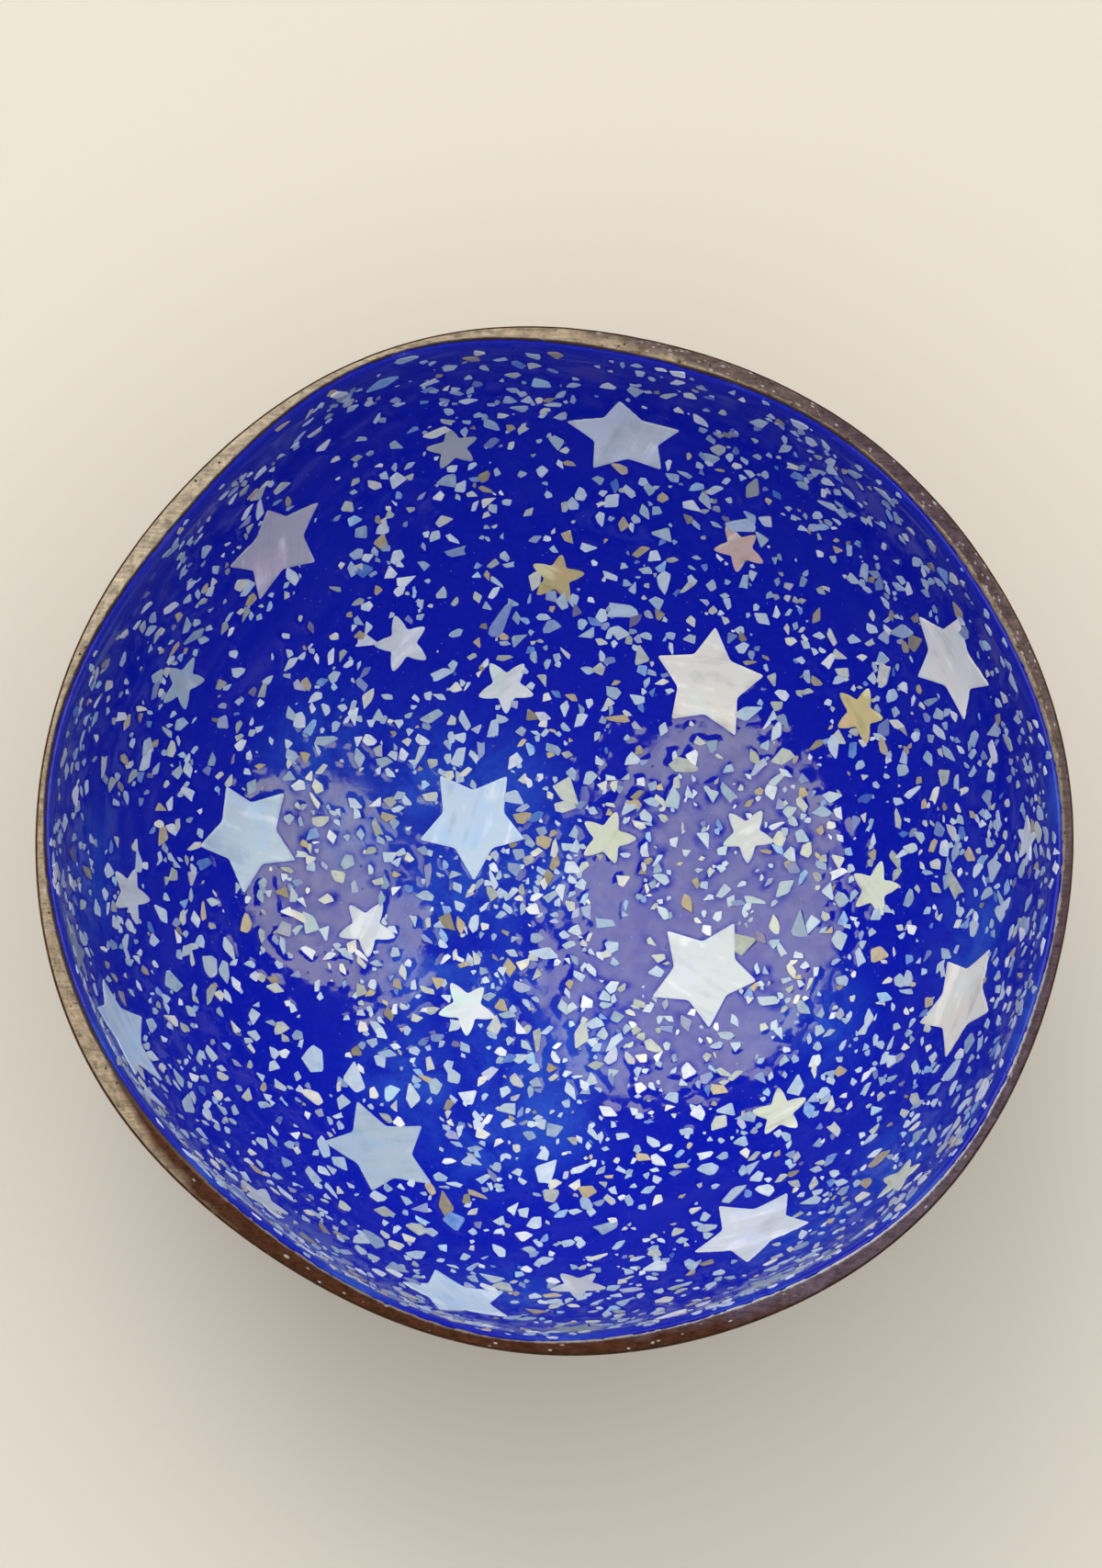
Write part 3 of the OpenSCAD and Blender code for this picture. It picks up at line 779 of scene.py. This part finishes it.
def bedding(scene, points):
    """Height of the lacquer round the chips and stars, pushed under them and creeping up their edges.

    Gives also how far it dips beside them, from 0 to 1.
    """
    outlines = chip_outlines(scene.bowl_chips)
    chips = chips_of(scene)
    tree = kdtree.KDTree(len(chips))
    for i, chip in enumerate(chips):
        tree.insert(chip.at[0], i)
    tree.balance()
    height, dip = np.zeros(len(points)), np.zeros(len(points))
    near_chip, creep, under_chip = 2.6 * MM, 0.4 * MM, -0.1 * MM
    near_star, star_creep, star_dip, under_star = 2 * MM, 0.5 * MM, 0.3 * MM, -0.15 * MM
    deep = np.clip(0.5 + 2 * bumps(np.array([chip.at[0] for chip in chips]), 8 * MM), 0, 1)
    for i, point in enumerate(points):
        for _, k, _ in tree.find_range(point, near_chip):
            chip = chips[k]
            offset = point - chip.at[0]
            u, v = offset @ chip.at[1], offset @ chip.at[2]
            x = u * math.cos(chip.turn) + v * math.sin(chip.turn)
            y = v * math.cos(chip.turn) - u * math.sin(chip.turn)
            half = outlines[chip.shape][1]
            far = math.hypot(x / half[0], y / half[1]) + 0.001 * MM
            beyond = (far - 0.95 * chip.reach) * half[1]
            side = 0.6 + 0.4 * x / (half[0] * far)
            dip[i] = max(dip[i], deep[k] * side * math.exp(-(max(beyond, 0) / creep) ** 2))
            if beyond < 0:
                height[i] = min(height[i], under_chip)
            else:
                height[i] += chip.rise * math.exp(-(beyond / creep) ** 2)
    for at, _, reach, outline in star_spots(scene):
        near = np.flatnonzero(np.linalg.norm(points - at[0], axis=1) < reach + near_star)
        beyond = star_clearance(at, outline, points[near])
        sunk = height[near] - 0.04 * MM * np.exp(-(beyond / star_creep) ** 2)
        height[near] = np.where(beyond < -0.1 * MM, under_star, sunk)
        dip[near] = np.maximum(dip[near], 0.75 * np.exp(-(np.maximum(beyond, 0) / star_dip) ** 2))
    return height, dip


class BOWL_OT_shell(bpy.types.Operator):
    """Add the coconut shell with its fibres, ground foot and worn rim"""

    bl_idname = "bowl.shell"
    bl_label = "Coconut shell"

    def execute(self, context):
        sizes = context.scene.bowl_shell
        outside, inside, _ = bowl_faces(context.scene)
        count, wall_rings, edge_rings, top_rings = 720, 84, 4, 9
        around = even_ring(count)
        foot_up = math.acos((RIM_Z / sizes.height) ** (sizes.power / 2))
        wall = [outside.point(around, up) for up in outside.even_steps(wall_rings, foot_up, QUARTER)]
        walked = np.append(0, np.cumsum(np.linalg.norm(np.diff(wall, axis=0), axis=2).mean(axis=1)))
        foot_rings = ((0.2, 12), (0.4, 6), (0.6, 3), (0.8, 1), (0.93, 1), (0.975, 1))
        rings = [np.zeros((1, 3))] + [wall[0][::step] * share for share, step in foot_rings]
        outer = [np.full(len(level), -walked[-1]) for level in rings]
        inset, suture_depth, dent_depth, swell_depth = 0.12 * MM, 0.22 * MM, 0.25 * MM, 0.12 * MM
        fibre_width, dent_width, swell_width = 2.2 * MM, 7 * MM, 24 * MM
        rim_fade, crumb_reach = 1.2 * MM, 0.55 * MM
        # Three faint seams run from the foot to the rim, as on every coconut
        seams = np.abs(np.sin(1.5 * (around - math.radians(20)))) ** 0.5
        suture = (1 - smooth_step(0, 0.24, seams)) * suture_depth
        for level, way in zip(wall[:-1], walked[:-1]):
            fibres = bumps(ring(around, GRAIN_REACH, 0.1 * way), fibre_width, 3)
            dents = np.clip(bumps(level, dent_width) - 0.25, 0, 1)
            swell = np.clip(0.4 + bumps(level, swell_width), 0, 1)
            drop = (suture + sizes.fibre_depth * np.clip(0.55 + 0.7 * fibres, 0, 1.4)
                    + dent_depth * dents + swell_depth * swell)
            drop = inset + drop * smooth_step(0, rim_fade, walked[-1] - way)
            moved = level + drop[:, None] * outside.inward(level)
            moved[:, 2] = np.maximum(moved[:, 2], 0)
            rings.append(moved)
            outer.append(np.full(count, way - walked[-1]))

        outer_r = outside.reach(around, 1) - inset
        inner_r = inside.reach(around, 1)
        rounding = np.minimum(sizes.rounding, (outer_r - inner_r) / 3)
        turns = [k / edge_rings * QUARTER for k in range(edge_rings + 1)]
        profile = [(outer_r - rounding * (1 - math.cos(turn)), rounding * (1 - math.sin(turn)))
                   for turn in turns[:-1]]
        profile += [((outer_r - rounding) * (1 - share) + (inner_r + rounding) * share, 0)
                    for share in np.arange(top_rings + 1) / top_rings]
        profile += [(inner_r + rounding * (1 - math.sin(turn)), rounding * (1 - math.cos(turn)))
                    for turn in turns[1:]]
        for k, (reach, drop) in enumerate(profile):
            level = ring(around, reach, RIM_Z - drop)
            from_inner = np.maximum(np.hypot(level[:, 0], level[:, 1]) - inner_r, 0)
            crumble = np.clip(0.3 + bumps(level, 1.1 * MM, 2), 0, 1)
            crumble = np.exp(-(from_inner / crumb_reach) ** 2) * crumble
            wear = np.clip(0.35 + bumps(level, 9 * MM) + 0.4 * bumps(level, 1.6 * MM), 0, 1.2)
            level[:, 2] -= sizes.rim_wear * (wear + 1.6 * crumble)
            rings.append(level)
            outer.append(-drop if k < edge_rings else outer_r - reach)
        hidden = hidden_rings(inside)
        outer = np.concatenate(outer + [np.full(len(level), HIDDEN_DEPTH) for level in hidden])

        points, faces = skin(rings + hidden)
        angle = np.arctan2(points[:, 1], points[:, 0])
        degrees = np.degrees(angle)
        inner_r = inside.reach(angle, 1)
        across = np.clip(outer / (outside.reach(angle, 1) - inner_r), 0, 1)
        shifted = degrees + 20 * across + 9 * bumps(points, 6 * MM, 2)
        ways, cuts, lines, margins, flecks, line_widths = zip(*RIM_ZONES)
        by_zone = functools.partial(np.interp, xp=ways, period=360)
        sawn, line = (
            np.stack([by_zone(at, fp=[linear(tones[name])[k] for name in names]) for k in range(3)], axis=-1)
            for at, tones, names in ((shifted, CUT_TONES, cuts), (degrees, LINE_TONES, lines)))
        add_piece("polished_coconut_shell", points, faces, sawn_coconut_shell(), "coconut_shell",
                  ["coconut_shell"],
                  grain=ring(angle, GRAIN_REACH, 0.1 * outer), sawn=sawn, line=line,
                  ringwise=np.stack([0.5 * points[:, 0], 0.5 * points[:, 1], outer], axis=-1),
                  from_outer=outer / MM, from_inner=(np.hypot(points[:, 0], points[:, 1]) - inner_r) / MM,
                  margin=by_zone(degrees, fp=margins), flecked=by_zone(degrees, fp=flecks),
                  line_width=by_zone(degrees, fp=line_widths))
        return {"FINISHED"}


class BOWL_OT_lacquer(bpy.types.Operator):
    """Add the lacquer lining with the beds of its chips and stars"""

    bl_idname = "bowl.lacquer"
    bl_label = "Lacquer lining"

    def execute(self, context):
        scene, sizes = context.scene, context.scene.bowl_lacquer
        _, inside, face = bowl_faces(scene)
        steps, overlap, raggedness = 168, 0.15 * MM, 0.12 * MM
        top = math.acos(((sizes.lip_drop + sizes.lip_rounding) / face.depth) ** (face.power / 2))
        ups = face.even_steps(steps + 1, 0, top)
        rings = [face.point(even_ring(max(6 * k, 1)), up) for k, up in enumerate(ups)]
        shown = np.concatenate(rings)
        shares = np.repeat(ups, [len(level) for level in rings]) / QUARTER
        height, dip = bedding(scene, shown)
        lift = sanding(face, shown, sizes.waviness) + height * (shares < 0.99)
        ends = np.cumsum([len(level) for level in rings])[:-1]
        rings = np.split(shown + lift[:, None] * face.inward(shown), ends)

        around = even_ring(6 * steps)
        margin = raggedness * bumps(ring(around, face.radius, 0), 3 * MM, 2)
        width = inside.reach(around, 1) + overlap - face.reach(around, 1)
        for part in (0.1, 0.4, 0.7, 1):
            height = RIM_Z - sizes.lip_drop - sizes.lip_rounding * (1 - part) + margin * part ** 3
            rings.append(ring(around, face.reach(around, 1) + width * part, height))
        points, faces = skin((rings + hidden_rings(inside))[::-1])
        dip = np.concatenate([np.zeros(len(points) - len(dip)), *np.split(dip, ends)[::-1]])

        share = face.share(points)
        # Mask of the lip: it makes the sanded lip rougher and paints shade on it, as it faces up into more
        # light
        lip = smooth_step(0, 0.3 * sizes.lip_rounding,
                          points[:, 2] - RIM_Z + sizes.lip_drop + sizes.lip_rounding)
        # Lighter swirls of pigment, with painted sheen along the lip from those at the rim
        swirl = np.zeros(len(points))
        for way, up, radius in SWIRLS_AND_PAINTED_LIP_SHEEN:
            centre = face.point(math.radians(way), up * QUARTER)
            far = np.linalg.norm(points - centre, axis=1) / (radius * MM)
            swirl = np.maximum(swirl, np.exp(-far ** 2))
        angle = np.arctan2(points[:, 1], points[:, 0])
        # Sanded haze by the rim, which also paints the sheen along the lip
        haze = smooth_step(0.84, 0.99, share) * (0.65 + 0.35 * np.cos(angle - math.radians(140)))
        add_piece("blue_lacquer_lining", points, faces, polished_lacquer(sizes), "blue_lacquer",
                  ["lacquer_lining"], swirl=swirl, haze=haze, sanded=lip, dip=dip,
                  sheen=(0.28 - 0.2 * smooth_step(0.45, 0.9, share)) * (1 - lip))
        return {"FINISHED"}


class BOWL_OT_large_stars(bpy.types.Operator):
    """Add the large pearl stars"""

    bl_idname = "bowl.large_stars"
    bl_label = "Large stars"

    def execute(self, context):
        add_stars(context.scene, "large", rings=9)
        return {"FINISHED"}


class BOWL_OT_small_stars(bpy.types.Operator):
    """Add the small pearl stars"""

    bl_idname = "bowl.small_stars"
    bl_label = "Small stars"

    def execute(self, context):
        add_stars(context.scene, "small", rings=6)
        return {"FINISHED"}


def chip_shapes(sizes):
    """A collection of unit chips: a flat top with worn edges over a narrower back."""
    shapes = bpy.data.collections.new("chip_shapes")
    layers = ((0.93, 0.07), (1, 0.01), (0.9, -0.34))
    for i, (outline, _) in enumerate(chip_outlines(sizes)):
        n = len(outline)
        points = [(x * share, y * share, z) for share, z in layers for x, y in outline]
        faces = [tuple(range(n)), tuple(range(3 * n - 1, 2 * n - 1, -1))]
        for start in (0, n):
            faces += [(start + n + k, start + n + (k + 1) % n, start + (k + 1) % n, start + k)
                      for k in range(n)]
        mesh = new_mesh(f"chip_shape_{i:02d}", points, faces)
        shapes.objects.link(bpy.data.objects.new(mesh.name, mesh))
    return shapes


def chip_bedding_tree():
    """Geometry nodes that put a chip on every point and turn them into one mesh."""
    tree = bpy.data.node_groups.new("Bedded chips", "GeometryNodeTree")
    for name, way, kind in (("Geometry", "INPUT", "Geometry"), ("Chip shapes", "INPUT", "Collection"),
                            ("Chip size", "INPUT", "Float"), ("Finish", "INPUT", "Material"),
                            ("Geometry", "OUTPUT", "Geometry")):
        tree.interface.new_socket(name, in_out=way, socket_type=f"NodeSocket{kind}")
    node = functools.partial(add_node, tree)
    given = node("NodeGroupInput").node.outputs
    lean, shape, reach = (
        node("GeometryNodeInputNamedAttribute", name, data_type=kind)
        for name, kind in (("lean", "FLOAT_VECTOR"), ("shape", "INT"), ("reach", "FLOAT")))
    shapes = node("GeometryNodeCollectionInfo", given["Chip shapes"], True, True)
    bedded = node("GeometryNodeInstanceOnPoints", given["Geometry"], Instance=shapes,
                  Rotation=node("FunctionNodeEulerToRotation", lean),
                  Scale=node("Math", reach, given["Chip size"], operation="MULTIPLY"),
                  **{"Pick Instance": True, "Instance Index": shape})
    real = node("GeometryNodeRealizeInstances", bedded)
    node("NodeGroupOutput", node("GeometryNodeSetMaterial", real, Material=given["Finish"]))
    return tree


class BOWL_OT_chips(bpy.types.Operator):
    """Add the crushed pearl chips, one piece for each tone"""

    bl_idname = "bowl.chips"
    bl_label = "Pearl chips"

    def execute(self, context):
        scene = context.scene
        waviness, face = scene.bowl_lacquer.waviness, bowl_faces(scene)[2]
        shapes, tree = chip_shapes(scene.bowl_chips), chip_bedding_tree()
        sockets = {s.name: s.identifier for s in tree.interface.items_tree if s.in_out == "INPUT"}
        probe, lift = 0.8 * MM, 0.015 * MM
        for tone in TONE_SHARES:
            chips = [chip for chip in chips_of(scene) if chip.tone == tone]
            centres = np.array([chip.at[0] for chip in chips])
            seats, slopes = sanding(face, centres, waviness), []
            for axis in (1, 2):
                ways = np.array([chip.at[axis] for chip in chips])
                slopes.append((sanding(face, centres + probe * ways, waviness)
                               - sanding(face, centres - probe * ways, waviness)) / (2 * probe))
            turns, places = [], []
            for chip, seat, slope_u, slope_v in zip(chips, seats, *slopes):
                basis = Matrix(chip.at[1:]).transposed()
                lean = Matrix.Rotation(math.atan(slope_v) + chip.lean_u, 3, "X")
                lean = lean @ Matrix.Rotation(-math.atan(slope_u) + chip.lean_v, 3, "Y")
                turns.append((basis @ lean @ Matrix.Rotation(chip.turn, 3, "Z")).to_euler()[:])
                places.append(chip.at[0] + chip.at[3] * (seat + 0.5 * max(chip.rise, 0) + lift))
            values = {key: [getattr(chip, key) for chip in chips]
                      for key in ("shape", "reach", "lustre", "veil")}
            mesh = new_mesh(f"{tone}_chip_places", places, lean=turns, **values)
            holder = bpy.data.objects.new(mesh.name, mesh)
            scene.collection.objects.link(holder)
            modifier = holder.modifiers.new("Bedded chips", "NODES")
            modifier.node_group = tree
            modifier[sockets["Chip shapes"]] = shapes
            modifier[sockets["Chip size"]] = 1.0
            modifier[sockets["Finish"]] = crushed_pearl(tone)
            ready = holder.evaluated_get(context.evaluated_depsgraph_get())
            made = bpy.data.meshes.new_from_object(ready)
            bpy.data.objects.remove(holder)
            made.name = f"pearl_chips_{tone}"
            finish_piece(made, [f"{tone}_pearl_chips"])
        for shape in list(shapes.objects):
            bpy.data.objects.remove(shape)
        bpy.data.collections.remove(shapes)
        return {"FINISHED"}


def aim_at(seen_from, target):
    """Places a camera or lamp and turns it to a target, with the photo's top kept up."""
    location, target = Vector(seen_from), Vector(target)
    back = (location - target).normalized()
    right = Vector((0, 1, 0)).cross(back).normalized()
    return location, Matrix((right, back.cross(right), back)).transposed().to_euler()


def add_lamp(name, seen_from, target, size, radiance, colour, glossy):
    """Adds a square lamp for all but the gloss, or an oval one seen by the gloss alone."""
    light = bpy.data.lights.new(name, "AREA")
    light.shape, light.size, light.size_y = "ELLIPSE" if glossy else "RECTANGLE", size[0], size[1]
    light.energy, light.color = 4 * radiance * size[0] * size[1], colour
    lamp = bpy.data.objects.new(name, light)
    lamp.location, lamp.rotation_euler = aim_at(seen_from, target)
    lamp.visible_camera = False
    lamp.visible_glossy = glossy
    lamp.visible_diffuse = not glossy
    bpy.context.scene.collection.objects.link(lamp)


class BOWL_OT_stage(bpy.types.Operator):
    """Add the floor, the lamps, the world and the camera"""

    bl_idname = "bowl.stage"
    bl_label = "Stage"

    def execute(self, context):
        scene, sizes = context.scene, context.scene.bowl_stage
        floor_colour = [*sizes.floor, 1]
        # Matt pale board, even enough to stay behind the bowl, that fades into the background far off
        material, node = new_material("pale_matt_board")
        board = node("BsdfPrincipled", floor_colour, Roughness=0.9, **{"Specular IOR Level": 0.1})
        far = node("VectorMath", node("TexCoord", out="Object"), operation="LENGTH")
        fade = node("Math", node("MapRange", far, 0.3, 1.2), node("LightPath", out="Is Camera Ray"),
                    operation="MULTIPLY")
        glow = node("Emission", floor_colour, 1)
        node("OutputMaterial", node("MixShader", fade, board, glow))
        radius, corners = 5, 96
        mesh = new_mesh("floor", ring(even_ring(corners), radius, 0), [tuple(range(corners))])
        mesh.materials.append(material)
        floor = bpy.data.objects.new("floor", mesh)
        scene.collection.objects.link(floor)

        # Dim studio, which the gloss shows as near black, behind a pale background for the camera
        scene.world = scene.world or bpy.data.worlds.new("studio")
        scene.world.use_nodes = True
        scene.world.node_tree.nodes.clear()
        node = functools.partial(add_node, scene.world.node_tree)
        dim, pale = node("Background", (1, 1, 1, 1), 0.1), node("Background", floor_colour, 1)
        node("OutputWorld", node("MixShader", node("LightPath", out="Is Camera Ray"), dim, pale))

        white, cool, warm = (1, 1, 1), (0.75, 0.85, 1), (1, 0.95, 0.2)
        for name, seen_from, size, radiance, tone in (
                ("sky", (0, 0.5, 2.2), (6, 6), 0.85, white),
                ("window", (-0.5, 1.2, 1.3), (1, 1), 2.15, white),
                ("opposite_wall", (-0.5, -1.8, 1.3), (3, 2), 0.4, cool)):
            add_lamp(name, seen_from, (0, 0, 0), size, radiance * sizes.lamp, tone, False)
        # Two lit openings in a ceiling, whose mirror images lie on the lacquer in the photo
        for name, left, right, low, high in (
                ("left_ceiling_panel", -2.1, 0.03, -0.56, 1.43),
                ("right_ceiling_panel", 0.38, 2.9, -0.38, 0.88)):
            x, y = (left + right) / 2, (low + high) / 2
            add_lamp(name, (x, y, 1), (x, y, 0), (right - left, high - low), sizes.panel, warm, True)

        data = bpy.data.cameras.new("camera")
        data.lens = sizes.lens / MM
        camera = bpy.data.objects.new("camera", data)
        seen_from, target = (-28.7 * MM, -71.1 * MM, 484.1 * MM), (-1.4 * MM, 5.7 * MM, 60.6 * MM)
        camera.location, camera.rotation_euler = aim_at(seen_from, target)
        scene.collection.objects.link(camera)
        scene.camera = camera
        scene.view_settings.view_transform = "Standard"
        return {"FINISHED"}


class BOWL_PT_pieces(bpy.types.Panel):
    """Lists the bowl's pieces and the stage"""

    bl_idname = "BOWL_PT_pieces"
    bl_label = "Coconut shell bowl"
    bl_space_type = "VIEW_3D"
    bl_region_type = "UI"
    bl_category = "Bowl"

    def draw(self, context):
        for operator in OPERATORS:
            self.layout.operator(operator.bl_idname)
        for key, group in SETTINGS.items():
            box = self.layout.box()
            for name in group.__annotations__:
                box.prop(getattr(context.scene, key), name)


OPERATORS = (BOWL_OT_shell, BOWL_OT_lacquer, BOWL_OT_large_stars, BOWL_OT_small_stars, BOWL_OT_chips,
             BOWL_OT_stage)


def register():
    for cls in (*SETTINGS.values(), *OPERATORS, BOWL_PT_pieces):
        bpy.utils.register_class(cls)
    for key, group in SETTINGS.items():
        setattr(bpy.types.Scene, key, bpy.props.PointerProperty(type=group))


def unregister():
    for key in SETTINGS:
        delattr(bpy.types.Scene, key)
    for cls in (BOWL_PT_pieces, *reversed(OPERATORS), *reversed(SETTINGS.values())):
        bpy.utils.unregister_class(cls)


def main():
    register()
    bpy.ops.bowl.shell()
    bpy.ops.bowl.lacquer()
    bpy.ops.bowl.large_stars()
    bpy.ops.bowl.small_stars()
    bpy.ops.bowl.chips()
    bpy.ops.bowl.stage()


if __name__ == "__main__":
    main()
